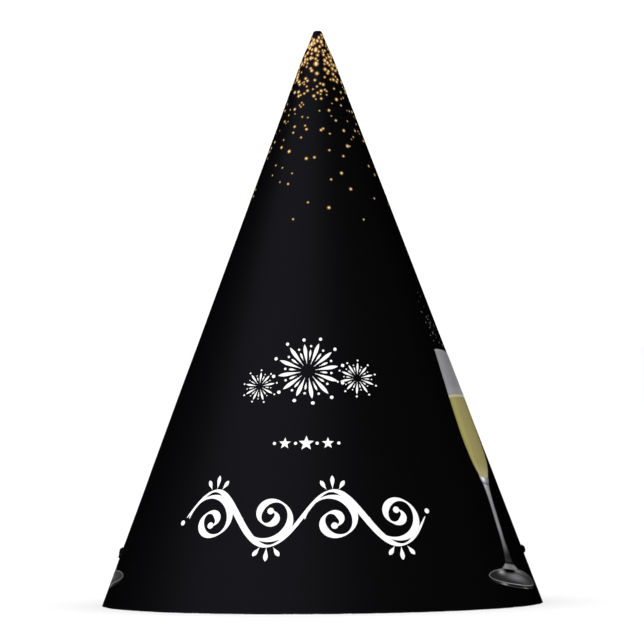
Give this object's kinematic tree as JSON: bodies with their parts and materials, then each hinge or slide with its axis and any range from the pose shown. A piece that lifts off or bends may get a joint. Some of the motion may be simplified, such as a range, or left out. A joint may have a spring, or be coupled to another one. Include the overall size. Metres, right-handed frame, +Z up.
{
  "type": "party hat",
  "caption": "Tall pointed party hat of printed card, rolled into a cone with a glued back seam, with a thin elastic chin cord knotted through a hole at each side.",
  "frame": {"origin": "centre of the rim, on the surface that the hat stands on", "axes": "+Z up the cone's axis to the tip, the front of the print faces -Y, the cord holes are at +X and -X, the seam runs up the back along +Y"},
  "size_m": [0.15, 0.15, 0.195],
  "materials": {
    "printed_card": "satin printed card, uncoated white inside",
    "adhesive_film": "clear-white double-sided adhesive film",
    "elastic_cord": "fine covered round elastic, matte black"
  },
  "bodies": {
    "root": {"cone_card": "printed_card", "seam_tape": "adhesive_film", "chin_elastic": "elastic_cord", "elastic_knot_left": "elastic_cord", "elastic_knot_right": "elastic_cord"}
  },
  "joints": []
}
